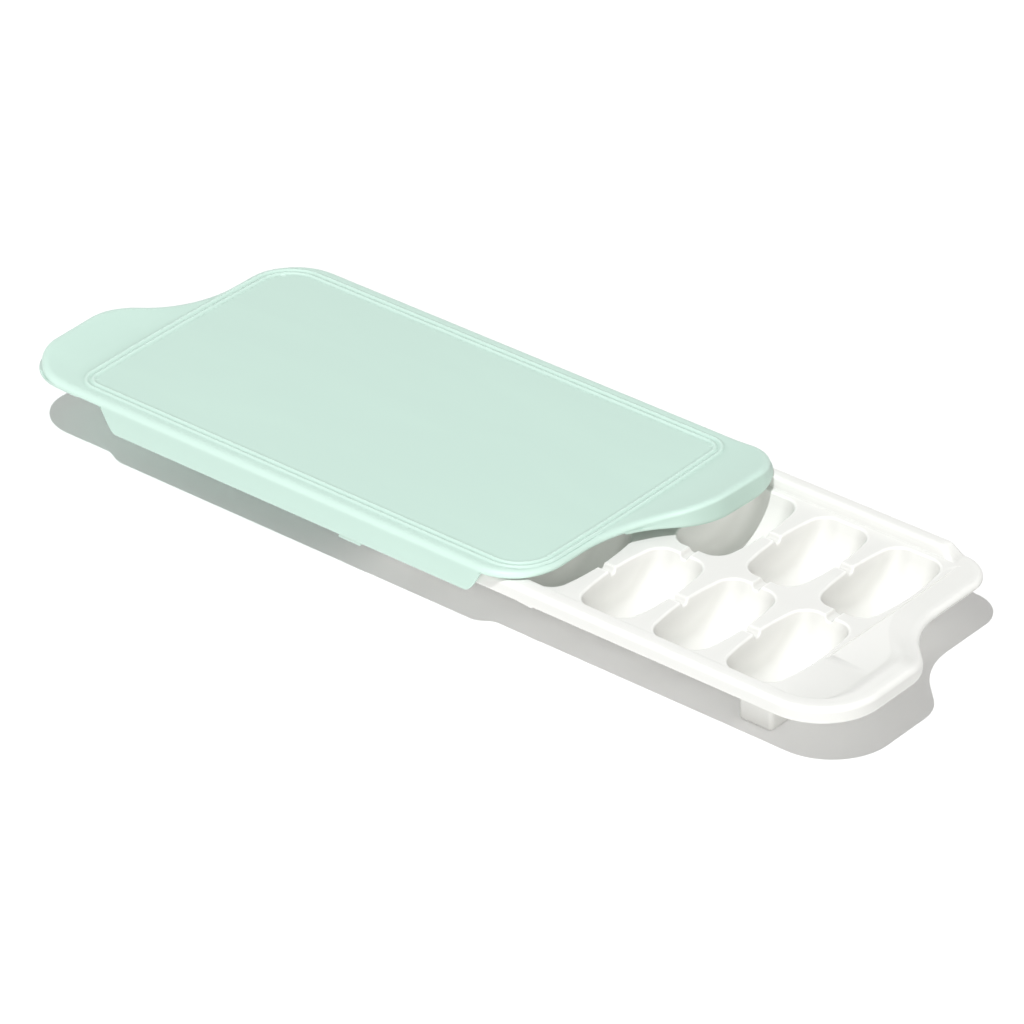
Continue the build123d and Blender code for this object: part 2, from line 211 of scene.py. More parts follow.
# Cover: one mint moulding
coverSizes = {
    "panelZ": 29.8,
    "thickness": 2.0,
    "edgeThickness": 2.8,    # from the top to the lower edge, away from skirts and lips
    "bodyEnd": 119.8,        # where the cover would end without its ears
    "cornerRadius": 24.0,
    "earRootRadius": 60.0,
    "earTipRadius": 34.0,
    "earCornerRadius": 21.5,
    "earRoot": -12.5,        # along the end
    "earTip": 15.5,
    "bendStart": 111.0,
    "earLift": 5.3,
    "earTwist": 0.45,        # share of earLift by which the ear's tip is higher than its corner
    "shoulderWidth": 3.1,
    "shoulderHeight": 2.2,
    "shoulderSteps": 8,
    "lowerEdgeRadius": 0.5,
    "edgeBand": 0.9,         # width of the band along an edge that takes the painted highlight
    "bandShare": 0.1,        # and its share of the wall's lean
    "underShares": (0.8, 0.6, 0.4, 0.2),  # rings of the underside, 1 at the bead and 0 at the wall
    "sheetSteps": 8,         # rings of the top between shoulder and bead
    "beadLength": 117.3,     # the bead's outer edge at its corners, from the middle
    "beadSide": 64.8,
    "beadBow": 1.3,          # its ends bulge outwards
    "beadWidth": 5.6,
    "beadHeight": 0.6,
    "beadRadius": 19.0,
    "beadEarRadius": 10.0,   # the same at the corners beside the ears
    "beadSteps": 20,
    "beadMargin": 1.0,       # a last ring keeps the panel flat up to the bead
    "skirtZ": 16.7,
    "skirtEnd": 99.5,        # both ends of a skirt are slanted
    "skirtSlant": 7.0,
    "skirtTop": 1.0,         # the slant reaches its end this far below the panel's top
    "skirtRounding": 4.0,
    "skirtRunOut": 4.0,      # this far past the slant's end only the short edge is left
    "skirtFine": (3.0, 5.0),  # closer stations this far past the slant's two ends
    "skirtParts": 3,
    "sideTolerance": 0.1,    # a station this close to the cover's side is on its straight
    "lipZ": 24.7,
    "lipFrom": (-12.0, 27.2),  # where the ear's lip starts along the end, and how high
    "lipFlat": (31.5, 47.5),
    "lipTo": (57.0, 27.0),
    "lipRounding": 1.5,
    "lipLean": 1.2,          # the lip's foot stands out this far past its top
    "leanMargin": 2.0,       # the lean starts and is complete this far inside the ear's ends
    "spacing": 1.0,
    "hook": (26.5, 37.5),    # along the skirt
    "hookSetback": 0.5,      # from the cover's side to the hook's outer face
    "hookReach": 5.5,        # and to its inner face
    "hookZ": (15.1, 18.3),
    "hookRounding": 0.4,
}


def coverTop(point):  # height of the sheet's top, before bead and edges
    s = coverSizes
    run = max(abs(point.x) - s["bendStart"], 0) / (coverEnd - s["bendStart"])
    twist = 1 - s["earTwist"] * clamp(alongEnd(point) / coverSide - 0.5, 0.5)
    return s["panelZ"] + s["earLift"] * twist * run * run


def isOnSide(point):
    return abs(point.y) > coverSide - coverSizes["sideTolerance"]


def isAtSkirtEnd(point):
    s = coverSizes
    past, before = s["skirtFine"]
    fromEnd = s["skirtEnd"] - abs(point.x)
    return isOnSide(point) and -past < fromEnd < s["skirtSlant"] + before


def skirtEdge(point, short):  # level, then slanted up to the short edge
    s = coverSizes
    lowEnd = s["skirtEnd"] - s["skirtSlant"]
    rise = (s["panelZ"] - s["skirtTop"] - s["skirtZ"]) / s["skirtSlant"]
    slanted = s["skirtZ"] + (abs(point.x) - lowEnd) * rise
    return softMin(softMax(slanted, s["skirtZ"], s["skirtRounding"]), short, s["skirtRounding"] / 2)


def lipEdge(point, short):  # down to the lip's flat stretch and up again
    s = coverSizes
    along = alongEnd(point)
    start, startZ = s["lipFrom"]
    low, high = s["lipFlat"]
    end, endZ = s["lipTo"]
    before = s["lipZ"] + (low - along) * (startZ - s["lipZ"]) / (low - start)
    after = s["lipZ"] + (along - high) * (endZ - s["lipZ"]) / (end - high)
    after = softMin(after, endZ, s["lipRounding"])
    lip = softMax(softMax(s["lipZ"], before, s["lipRounding"]), after, s["lipRounding"])
    return softMin(lip, short, s["lipRounding"])


def coverLowerEdge(point):  # height of the cover's lower edge at its outline
    s = coverSizes
    short = coverTop(point) - s["edgeThickness"]
    if isOnSide(point) and abs(point.x) < s["skirtEnd"] + s["skirtRunOut"]:
        return skirtEdge(point, short)
    if abs(point.x) > s["bendStart"] and alongEnd(point) > s["lipFrom"][0]:
        return lipEdge(point, short)
    return short


def lipLean(point):  # how far the wall's top stands in from its foot
    s = coverSizes
    margin = s["leanMargin"]
    return s["lipLean"] * ease(s["bodyEnd"] + margin, coverEnd - margin, abs(point.x))


def beadPlace(point, inset):
    s = coverSizes
    radius = s["beadEarRadius"] if point.x * point.y > 0 else s["beadRadius"]
    place = rectanglePoint(point, s["beadLength"], s["beadSide"], radius, inset)
    place.x *= 1 + s["beadBow"] / s["beadLength"] * (1 - (place.y / s["beadSide"]) ** 2)
    return place


def coverRings():
    s = coverSizes
    right = [(s["bodyEnd"], -coverSide), (s["bodyEnd"], s["earRoot"]),
             (coverEnd, s["earTip"]), (coverEnd, coverSide)]
    radii = [s["cornerRadius"], s["earRootRadius"], s["earTipRadius"], s["earCornerRadius"]]
    stations = outlineStations(halfTurned(right), radii * 2, s["spacing"])
    stations = refined(stations, isAtSkirtEnd, s["skirtParts"])

    def beadRing(inset, rise):
        places = [beadPlace(point, inset) for point, inwards in stations]
        return [(place.x, place.y, coverTop(place) + rise) for place in places]

    def edgeRing(inset, height, upper=1):  # upper is 0 at the wall's foot, where a lip leans out
        ring = []
        for point, inwards in stations:
            place = point + inwards * (inset + lipLean(point) * upper)
            ring.append((place.x, place.y, height(coverLowerEdge(point), coverTop(place))))
        return ring

    def sheetRing(share, rise):  # share 0 is at the edge and 1 at the bead
        ring = []
        for point, inwards in stations:
            edge = point + inwards * (s["shoulderWidth"] + lipLean(point))
            place = edge.lerp(beadPlace(point, 0), share)
            ring.append((place.x, place.y, coverTop(place) + rise))
        return ring

    thick, small, near = s["thickness"], s["lowerEdgeRadius"], s["edgeBand"]
    wide, tall = s["shoulderWidth"], s["shoulderHeight"]
    middle = small * roundMiddle
    rings = [beadRing(s["beadWidth"], -thick), beadRing(0, -thick)]
    rings += [sheetRing(share, -thick) for share in s["underShares"]]

    # Up the inside of the wall, round its lower edge, up the outside and over the shoulder
    rings.append(edgeRing(thick + small, lambda low, top: top - thick))
    rings.append(edgeRing(thick, lambda low, top: max(top - thick - small, low)))
    rings.append(edgeRing(thick, lambda low, top: min(low + small, top - thick), 0))
    rings.append(edgeRing(thick - small, lambda low, top: low, 0))
    rings.append(edgeRing(small, lambda low, top: low, 0))
    rings.append(edgeRing(middle, lambda low, top: low + middle, 0))
    rings.append(edgeRing(0, lambda low, top: min(low + small, top - tall), 0))
    rings.append(edgeRing(0, lambda low, top: min(low + small + near, top - tall), s["bandShare"]))
    rings.append(edgeRing(0, lambda low, top: max(top - tall - near, low + small), 1 - s["bandShare"]))
    for step in range(s["shoulderSteps"] + 1):
        angle = pi / 2 * step / s["shoulderSteps"]
        rise = tall * sin(angle) - tall
        rings.append(edgeRing(wide - wide * cos(angle), lambda low, top: top + rise))
    rings += [sheetRing(step / s["sheetSteps"], 0) for step in range(1, s["sheetSteps"])]

    # Two ridges with a groove between them, down to the panel
    for step in range(s["beadSteps"] + 1):
        share = step / s["beadSteps"]
        rings.append(beadRing(s["beadWidth"] * share, s["beadHeight"] * sin(2 * pi * share) ** 2))
    rings.append(beadRing(s["beadWidth"] + s["beadMargin"], 0))
    return rings


def makeHook(side):
    s = coverSizes
    low, high = s["hook"]
    bottom, top = s["hookZ"]
    bpy.ops.mesh.primitive_cube_add(size=1)
    hook = bpy.context.object
    hook.dimensions = Vector((high - low, s["hookReach"] - s["hookSetback"], top - bottom)) * mm
    middle = (s["hookReach"] + s["hookSetback"]) / 2 - coverSide
    hook.location = Vector(((low + high) / 2, middle, (top + bottom) / 2)) * mm
    hook.location.xy *= side
    bpy.ops.object.transform_apply(location=True, rotation=True, scale=True)
    rounding = hook.modifiers.new("rounding", 'BEVEL')
    rounding.width = s["hookRounding"] * mm
    rounding.segments = 3
    bpy.ops.object.modifier_apply(modifier=rounding.name)
    return hook


def makeCover():
    cover = loftRings("slidingCover", coverRings(), capFirst=True, capLast=True)
    hooks = [makeHook(1), makeHook(-1)]
    cover = joinPieces("slidingCover", [cover] + hooks)
    finishShape(cover, coverX)
    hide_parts("sliding_cover")
    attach(cover, "cover")
    print("cover:", len(cover.data.polygons), "faces")
    return cover


# Tray: one white moulding
cupSizes = {
    "columns": 6,
    "pitch": 35.0,
    "length": 52.4,
    "width": 29.2,
    "endWidth": 23.0,
    "depth": 19.5,
    "draft": 9.0,            # degrees
    "edgeRadius": 6.0,
    "lipRadius": 0.9,
    "lipSteps": 3,
    "lipBand": 0.4,          # keeps the lip's painted highlight off the deck
    "insideAngles": (12, 17, 23, 29, 35, 41, 47, 53, 59, 65, 71, 77, 82, 86, 88.5),  # below the mouth
    "wall": 1.5,
    "rootRadius": 1.0,       # between the cup's outside and the deck's underside
    "rootSteps": 2,
    "outsideAngles": (20, 28, 37, 46, 55, 64, 73, 81, 87),
    "rowCentre": 29.1,
    "notchDepth": 2.0,
    "notchHalf": 2.2,
    "notchPower": 4,         # a higher power makes a squarer channel
    # Stations this far from a notch's middle
    "notchSteps": (0, 0.7, 1.2, 1.6, 1.9, 2.1, 2.25, 2.6, 3.3, 4.2),
    "saddleDrop": 2.0,       # below a notch the deck's underside drops too
    "saddleHalf": (2.4, 4.2),  # wholly up to the first, and not at all past the second
    "spacing": 1.7,
    "mouthSteps": 300,       # the mouth is measured in this many steps before it is spaced
    "cornerSlope": 0.55,     # the station where x is this share of y divides side from end
    "sideSteady": 16.0,      # stations go straight out to the tile's edge up to here
    "endSteady": 5.0,
}
traySizes = {
    "deckZ": 22.5,
    "deckThickness": 2.0,
    "tileEnd": 103.3,        # edge of the cup tiles from the tray's middle
    "tileSide": 56.9,
    "deckEnd": 104.3,        # where the rim's profile starts
    "deckSide": 57.9,
    "deckRadius": 1.15,      # small, so that the cup tiles' corners stay inside it
    "creaseWidth": 0.8,
    "creaseDepth": 0.6,
    "creaseMargin": 0.1,     # an even strip beside the crease keeps its shading even
    "crease": (-26.0, 52.0),  # along the end
    "creaseFade": (3.0, 2.0),  # it fades in over twice the first and out over twice the second
    "bodyEnd": 116.3,        # where the tray would end without its ears
    "cornerRadius": 15.5,
    "earRootRadius": 35.0,
    "earTipRadius": 20.0,
    "earCornerRadius": 27.0,
    "earRoot": 12.9,         # along the end
    "earTip": -10.2,
    "rimRise": 3.8,
    "rimTop": 6.4,
    "rimSlope": 1.9,
    "earSlope": 9.0,
    "slopeRunOut": 9.0,      # the slope is at its widest this far past bodyEnd
    "slopeLimit": 0.97,      # where the rim comes near the deck, its slope stops at this share
    "slopeShares": (0, 0.12, 0.25, 0.4, 0.55, 0.7, 0.85, 1),  # 0 at the rim's top, 1 at the deck
    "hollowShares": (1, 0.75, 0.5, 0.25, 0),  # the same for the hollow below the rim
    "hollowSetback": 1.2,    # the hollow's slope lies this far outside the slope above it
    "edgeRadius": 2.0,
    "edgeSteps": 6,
    "lowerEdgeRadius": 0.4,
    "edgeBand": 0.7,         # width of the band along an edge that takes the painted highlight
    "wall": 2.0,
    "skirtZ": 19.6,
    "railEnd": 93.0,         # the long rims fall to the flange from here
    "railFall": 8.0,         # and over this length
    "earFall": (-20.1, 7.9),  # along the end, where the ear's rim falls to the flange
    "detent": (6.0, 15.0),   # along the slide
    "detentDepth": 0.8,
    "spacing": 1.25,
    "levelTolerance": 0.05,  # edges this close to a height count as level with it
}
deckZ = traySizes["deckZ"]
deckUnderZ = deckZ - traySizes["deckThickness"]
farOut = 60  # outside any cup's wall, measured from its axis
farAlong = 3  # the same along a ray that slants down, in shares of its level and drop


def isInCup(x, y, z, grow):
    s = cupSizes
    half = s["length"] / 2
    moonRadius = (half ** 2 + s["depth"] ** 2) / (2 * s["depth"])
    moonZ = deckZ - s["depth"] + moonRadius
    draft = radians(s["draft"])
    bow = (s["width"] - s["endWidth"]) / 2 * (y / half) ** 2
    side = (abs(x) - s["width"] / 2 - grow + bow + tan(draft) * (deckZ - z)) * cos(draft)
    moon = hypot(y, z - moonZ) - moonRadius - grow
    radius = s["edgeRadius"] + grow
    rounded = hypot(max(side + radius, 0), max(moon + radius, 0))
    return min(max(side, moon), -radius) + rounded < 0


def wallPoint(direction, z, grow):  # where a level line from the cup's axis meets its wall
    reach = solve(lambda r: isInCup(direction.x * r, direction.y * r, z, grow), farOut)
    return direction * reach


# A quarter of the cup's mouth, from its side to its end, with close stations at the notches.
def quarterMouth():
    s = cupSizes
    z = deckZ - s["lipRadius"]
    near = s["notchSteps"]
    side = [Vector((solve(lambda r: isInCup(r, y, z, 0), farOut), y)) for y in near]
    end = [Vector((x, solve(lambda r: isInCup(x, r, z, 0), farOut))) for x in reversed(near)]
    first, last = atan2(side[-1].y, side[-1].x), atan2(end[0].y, end[0].x)
    fine, lengths = [], [0]
    for step in range(s["mouthSteps"] + 1):
        angle = first + (last - first) * step / s["mouthSteps"]
        fine.append(wallPoint(Vector((cos(angle), sin(angle))), z, 0))
    for a, b in zip(fine, fine[1:]):
        lengths.append(lengths[-1] + (b - a).length)
    count = round(lengths[-1] / s["spacing"])
    between = []
    for k in range(1, count):
        target = lengths[-1] * k / count
        between.append(fine[min(range(len(fine)), key=lambda i: abs(lengths[i] - target))])
    return side + between + end


def wholeMouth():  # stations round the mouth, and the one between its side and its end
    quarter = quarterMouth()
    corner = min(quarter, key=lambda p: abs(p.x - p.y * cupSizes["cornerSlope"]))
    mouth = quarter + [Vector((-p.x, p.y)) for p in reversed(quarter[:-1])]
    mouth += [-p for p in mouth[1:-1]]
    return mouth, corner


# The same station on the tile's edge: straight out from the cup, spread towards the corners.
def spread(value, steady, last, edge):
    if abs(value) <= steady:
        return value
    share = (abs(value) - steady) / (last - steady)
    return (steady + share * (edge - steady)) * (1 if value > 0 else -1)


def notchDrops(across, isOpen):  # how far a notch lowers the deck's top and its underside
    if not isOpen:
        return 0, 0
    s = cupSizes
    dip = max(1 - (abs(across) / s["notchHalf"]) ** s["notchPower"], 0)
    saddle = 1 - ease(*s["saddleHalf"], abs(across))
    return dip * s["notchDepth"], saddle * s["saddleDrop"]


# The tile's edge and the notches in it. Rows meet at the end where y is above 0.
def tileEdge(mouth, corner, halves, notches):
    s = cupSizes
    edges, drops = [], []
    for p in mouth:
        half = halves[p.x > 0]
        end = s["rowCentre"] if p.y > 0 else traySizes["tileSide"] - s["rowCentre"]
        if abs(p.y) <= corner.y:
            y = spread(p.y, s["sideSteady"], corner.y, end)
            edges.append((half if p.x > 0 else -half, y))
            drops.append(notchDrops(p.y, notches[p.x > 0]))
        else:
            x = spread(p.x, s["endSteady"], corner.x, half)
            edges.append((x, end if p.y > 0 else -end))
            drops.append(notchDrops(p.x, p.y > 0))
    return edges, drops


def wallRing(mouth, levels, out, rise, grow):  # stands out from the cup's wall, above each level
    ring = []
    for k, p in enumerate(mouth):
        along = mouth[(k + 1) % len(mouth)] - mouth[k - 1]
        outwards = Vector((along.y, -along.x)).normalized()
        place = wallPoint(p.normalized(), levels[k], grow) + outwards * out
        ring.append((place.x, place.y, levels[k] + rise))
    return ring


def roundingRings(mouth, levels, radius, steps, grow):  # from the deck over into the cup's wall
    rings = []
    for step in range(steps + 1):
        turn = pi / 2 * step / steps
        rings.append(wallRing(mouth, levels, radius * (1 - sin(turn)), radius * cos(turn), grow))
    return rings


def bowlRing(mouth, angle, grow):  # where rays that slant down at about this angle meet the bowl
    ring = []
    for p in mouth:
        level = p.normalized() * (p.length + grow) * cos(angle)
        drop = (cupSizes["depth"] + grow) * sin(angle)
        reach = solve(lambda r: isInCup(level.x * r, level.y * r, deckZ - drop * r, grow), farAlong)
        ring.append((level.x * reach, level.y * reach, deckZ - drop * reach))
    return ring


def cupInside(mouth, edges, drops):
    s = cupSizes
    lip = s["lipRadius"]
    tops = [deckZ - dip for dip, saddle in drops]
    levels = [top - lip for top in tops]
    rings = [[(x, y, top) for (x, y), top in zip(edges, tops)]]
    rings.append(wallRing(mouth, levels, lip + s["lipBand"], lip, 0))
    rings += roundingRings(mouth, levels, lip, s["lipSteps"], 0)
    rings += [bowlRing(mouth, radians(angle), 0) for angle in s["insideAngles"]]
    return loftRings("cupInside", rings, capLast=True)


def cupOutside(mouth, edges, drops):
    s = cupSizes
    root = s["rootRadius"]
    unders = [deckUnderZ - saddle for dip, saddle in drops]
    levels = [under - root for under in unders]
    rings = [[(x, y, under) for (x, y), under in zip(edges, unders)]]
    rings += roundingRings(mouth, levels, root, s["rootSteps"], s["wall"])
    rings += [bowlRing(mouth, radians(angle), s["wall"]) for angle in s["outsideAngles"]]
    return loftRings("cupOutside", rings, capLast=True)


def placedCopy(piece, x, y, turned):
    copy = piece.copy()
    copy.data = piece.data.copy()
    bpy.context.collection.objects.link(copy)
    selectOnly([copy])
    copy.rotation_euler.z = pi if turned else 0
    copy.location = (x * mm, y * mm, 0)
    bpy.ops.object.transform_apply(location=True, rotation=True, scale=True)
    return copy


def makeCupTiles():
    s = cupSizes
    mouth, corner = wholeMouth()
    last = s["columns"] - 1
    half = s["pitch"] / 2
    endHalf = traySizes["tileEnd"] - last / 2 * s["pitch"]
    tiles = []
    for columns, halves, notches in (
        ([0], (endHalf, half), (False, True)),
        (range(1, last), (half, half), (True, True)),
        ([last], (half, endHalf), (True, False)),
    ):
        edges, drops = tileEdge(mouth, corner, halves, notches)
        masters = [cupInside(mouth, edges, drops), cupOutside(mouth, edges, drops)]
        for column in columns:
            x = (column - last / 2) * s["pitch"]
            for master in masters:
                tiles.append(placedCopy(master, x, -s["rowCentre"], False))
                tiles.append(placedCopy(master, -x, s["rowCentre"], True))
        for master in masters:
            bpy.data.objects.remove(master)
    return tiles


def detentDrop(point):  # the wedge below each long rim
    s = traySizes
    start, end = s["detent"]
    along = point.x if point.y > 0 else -point.x
    return s["detentDepth"] * (end - along) / (end - start) if start < along < end else 0


# Each is a point, the direction inwards, the rim's rise, its inner slope's width, its lower edge.
def rimStations():
    s = traySizes
    right = [(trayEnd, -traySide), (trayEnd, s["earTip"]),
             (s["bodyEnd"], s["earRoot"]), (s["bodyEnd"], traySide)]
    radii = [s["earCornerRadius"], s["earTipRadius"], s["earRootRadius"], s["cornerRadius"]]
    stations = []
    for point, inwards in outlineStations(halfTurned(right), radii * 2, s["spacing"]):
        onRail = 1 - ease(s["railEnd"], s["railEnd"] + s["railFall"], abs(point.x))
        onEar = 1 - ease(*s["earFall"], alongEnd(point))
        rise = s["rimRise"] * max(onRail, onEar)
        gentle = ease(s["railEnd"], s["bodyEnd"] + s["slopeRunOut"], abs(point.x))
        slope = s["rimSlope"] + (s["earSlope"] - s["rimSlope"]) * gentle
        stations.append((point, inwards, rise, slope, s["skirtZ"] - detentDrop(point)))
    return stations


def deckPoint(point, inset):
    s = traySizes
    return rectanglePoint(point, s["deckEnd"], s["deckSide"], s["deckRadius"], inset)


def creaseShare(place):  # 1 along the crease, 0 on the rest of the deck's edge
    s = traySizes
    start, end = s["crease"]
    fadeIn, fadeOut = s["creaseFade"]
    along = alongEnd(place)
    return ease(start - fadeIn, start + fadeIn, along) * ease(end + fadeOut, end - fadeOut, along)


def rimRings():
    s = traySizes
    stations = rimStations()

    def deckRing(inset, z, depth=0):
        places = [deckPoint(station[0], inset) for station in stations]
        return [(place.x, place.y, z - depth * creaseShare(place)) for place in places]

    def rimRing(inset, height, share=0):  # share 0 at the rim's top, 1 at the deck
        ring = []
        for point, inwards, rise, slope, low in stations:
            edge = point + inwards * inset
            deck = deckPoint(point, 0)
            place = edge.lerp(deck, min(slope * share / (deck - edge).length, s["slopeLimit"]))
            ring.append((place.x, place.y, height(low, deckZ + rise)))
        return ring

    def slopeRing(inset, share, below):
        drop = ease(0, 1, share)
        return rimRing(inset, lambda low, top: top - below - drop * (top - deckZ), share)

    wall, small, big = s["wall"], s["lowerEdgeRadius"], s["edgeRadius"]
    thick, near = s["deckThickness"], s["edgeBand"]
    middle = small * roundMiddle
    creaseEnd = s["creaseWidth"] + s["creaseMargin"]
    rings = [deckRing(creaseEnd, deckUnderZ), deckRing(0, deckUnderZ)]

    # The hollow below the rim, its lower edge, the outer wall and the rounded top
    hollowTop = s["rimTop"] - s["hollowSetback"]
    rings += [slopeRing(hollowTop, share, thick) for share in s["hollowShares"]]
    rings.append(rimRing(wall + small, lambda low, top: top - thick))
    rings.append(rimRing(wall, lambda low, top: max(top - thick - small, low + small)))
    rings.append(rimRing(wall, lambda low, top: low + small))
    rings.append(rimRing(wall - small, lambda low, top: low))
    rings.append(rimRing(small, lambda low, top: low))
    rings.append(rimRing(middle, lambda low, top: low + middle))
    rings.append(rimRing(0, lambda low, top: low + small))
    rings.append(rimRing(0, lambda low, top: min(low + small + near, top - big)))
    rings.append(rimRing(0, lambda low, top: max(top - big - near / 2, low + small)))
    for step in range(s["edgeSteps"] + 1):
        angle = pi / 2 * step / s["edgeSteps"]
        rise = big * sin(angle) - big
        rings.append(rimRing(big - big * cos(angle), lambda low, top: top + rise))
    rings.append(rimRing((big + s["rimTop"]) / 2, lambda low, top: top))

    # Down the inner slope to the deck, and the crease at the deck's ends
    rings += [slopeRing(s["rimTop"], share, 0) for share in s["slopeShares"]]
    rings.append(deckRing(0, deckZ))
    rings.append(deckRing(s["creaseWidth"] / 2, deckZ, s["creaseDepth"]))
    rings.append(deckRing(s["creaseWidth"], deckZ))
    rings.append(deckRing(creaseEnd, deckZ))
    return rings


def fillDeck(tray, z):  # closes the strip between the rim and the cup tiles at one height
    selectOnly([tray])
    bpy.ops.object.mode_set(mode='EDIT')
    bpy.ops.mesh.select_all(action='DESELECT')
    mesh = bmesh.from_edit_mesh(tray.data)
    for edge in mesh.edges:
        heights = [vert.co.z / mm - z for vert in edge.verts]
        if edge.is_boundary and max(map(abs, heights)) < traySizes["levelTolerance"]:
            edge.select_set(True)
    bmesh.update_edit_mesh(tray.data)
    bpy.ops.mesh.fill(use_beauty=True)
    bpy.ops.object.mode_set(mode='OBJECT')


def makeTray():
    rim = loftRings("trayRim", rimRings())
    tray = joinPieces("trayBody", [rim] + makeCupTiles())
    weld(tray)
    fillDeck(tray, deckZ)
    fillDeck(tray, deckUnderZ)
    finishShape(tray, trayX)
    nodes = [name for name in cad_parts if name.startswith(("cup_", "rim_", "end_"))]
    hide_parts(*nodes)
    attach(tray, "tray")
    print("tray:", len(tray.data.polygons), "faces")
    return tray


# Materials
finishSizes = {
    "grainScale": 1400,      # cells to the metre
    "grainDetail": 3,
    "grainDepth": 0.00004,   # metres
    "flowScale": 42,
    "flowStretch": 0.3,      # flow marks are longer along the tray
    "flowDistortion": 0.6,
    "flow": (0.45, 0.75),    # noise levels between which a flow mark fades in
    "edge": (0.502, 0.53),   # pointiness from which an edge gets the painted highlight, and at which it is strongest
    "hollow": (0.498, 0.48),  # the same for the painted shade in hollows
}


def fadeNode(nodes, levels):  # 0 at the first level and 1 at the second
    fade = nodes.new("ShaderNodeMapRange")
    fade.inputs["From Min"].default_value, fade.inputs["From Max"].default_value = levels
    return fade


# Surface of a moulded plastic: fine grain and faint flow marks, plus painted light: a painted
# highlight on edges and painted shade in hollows.
def makeMouldedSurfaceWithPaintedLight():
    s = finishSizes
    group = bpy.data.node_groups.new("mouldedSurfaceWithPaintedLight", 'ShaderNodeTree')
    for direction, name, kind in (
        ('INPUT', "Vector", 'NodeSocketVector'),
        ('INPUT', "Colour", 'NodeSocketColor'),
        ('INPUT', "Flow Colour", 'NodeSocketColor'),
        ('INPUT', "Edge Highlight Colour", 'NodeSocketColor'),
        ('INPUT', "Hollow Shade Colour", 'NodeSocketColor'),
        ('INPUT', "Roughness", 'NodeSocketFloat'),
        ('INPUT', "Roughness Spread", 'NodeSocketFloat'),
        ('OUTPUT', "Colour", 'NodeSocketColor'),
        ('OUTPUT', "Roughness", 'NodeSocketFloat'),
        ('OUTPUT', "Height", 'NodeSocketFloat'),
    ):
        group.interface.new_socket(name, in_out=direction, socket_type=kind)
    nodes, links = group.nodes, group.links
    enter, leave = nodes.new("NodeGroupInput"), nodes.new("NodeGroupOutput")

    grain = nodes.new("ShaderNodeTexNoise")
    grain.inputs["Scale"].default_value = s["grainScale"]
    grain.inputs["Detail"].default_value = s["grainDetail"]
    links.new(enter.outputs["Vector"], grain.inputs["Vector"])

    stretch = nodes.new("ShaderNodeMapping")
    stretch.inputs["Scale"].default_value = (s["flowStretch"], 1, 1)
    flow = nodes.new("ShaderNodeTexNoise")
    flow.inputs["Scale"].default_value = s["flowScale"]
    flow.inputs["Distortion"].default_value = s["flowDistortion"]
    flowMask = fadeNode(nodes, s["flow"])
    links.new(enter.outputs["Vector"], stretch.inputs["Vector"])
    links.new(stretch.outputs["Vector"], flow.inputs["Vector"])
    links.new(flow.outputs["Fac"], flowMask.inputs["Value"])

    shape = nodes.new("ShaderNodeNewGeometry")
    # pointiness masks: a painted highlight on edges and painted shade in hollows
    edgeHighlightMask, hollowShadeMask = fadeNode(nodes, s["edge"]), fadeNode(nodes, s["hollow"])
    links.new(shape.outputs["Pointiness"], edgeHighlightMask.inputs["Value"])
    links.new(shape.outputs["Pointiness"], hollowShadeMask.inputs["Value"])

    colour = enter.outputs["Colour"]
    # mixes in the flow marks, then the painted edge highlight, then the painted hollow shade
    for mask, other in (
        (flowMask, "Flow Colour"), (edgeHighlightMask, "Edge Highlight Colour"), (hollowShadeMask, "Hollow Shade Colour")
    ):
        mix = nodes.new("ShaderNodeMix")
        mix.data_type = 'RGBA'
        links.new(mask.outputs["Result"], mix.inputs["Factor"])
        links.new(colour, mix.inputs[6])  # the colour sockets A, B and Result
        links.new(enter.outputs[other], mix.inputs[7])
        colour = mix.outputs[2]
    links.new(colour, leave.inputs["Colour"])

    uneven = nodes.new("ShaderNodeMath")
    uneven.operation = 'MULTIPLY_ADD'
    links.new(flow.outputs["Fac"], uneven.inputs[0])
    links.new(enter.outputs["Roughness Spread"], uneven.inputs[1])
    links.new(enter.outputs["Roughness"], uneven.inputs[2])
    links.new(uneven.outputs["Value"], leave.inputs["Roughness"])

    height = nodes.new("ShaderNodeMath")
    height.operation = 'ADD'
    links.new(grain.outputs["Fac"], height.inputs[0])
    links.new(flow.outputs["Fac"], height.inputs[1])
    links.new(height.outputs["Value"], leave.inputs["Height"])
    return group


def plasticMaterial(name, surface, finish):
    material = bpy.data.materials.new(name)
    material.use_nodes = True
    nodes, links = material.node_tree.nodes, material.node_tree.links
    shader = nodes["Principled BSDF"]
    place = nodes.new("ShaderNodeTexCoord")
    moulded = nodes.new("ShaderNodeGroup")
    moulded.node_tree = surface
    for socket in ("Colour", "Flow Colour", "Edge Highlight Colour", "Hollow Shade Colour"):
        moulded.inputs[socket].default_value = (*finish[socket], 1)
    for socket in ("Roughness", "Roughness Spread"):
        moulded.inputs[socket].default_value = finish[socket]
    bump = nodes.new("ShaderNodeBump")
    bump.inputs["Strength"].default_value = finish["Grain"]
    bump.inputs["Distance"].default_value = finishSizes["grainDepth"]
    links.new(place.outputs["Object"], moulded.inputs["Vector"])
    links.new(moulded.outputs["Colour"], shader.inputs["Base Color"])
    links.new(moulded.outputs["Roughness"], shader.inputs["Roughness"])
    links.new(moulded.outputs["Height"], bump.inputs["Height"])
    links.new(bump.outputs["Normal"], shader.inputs["Normal"])
    return material


def paint(piece, material):
    piece.data.materials.clear()
    piece.data.materials.append(material)


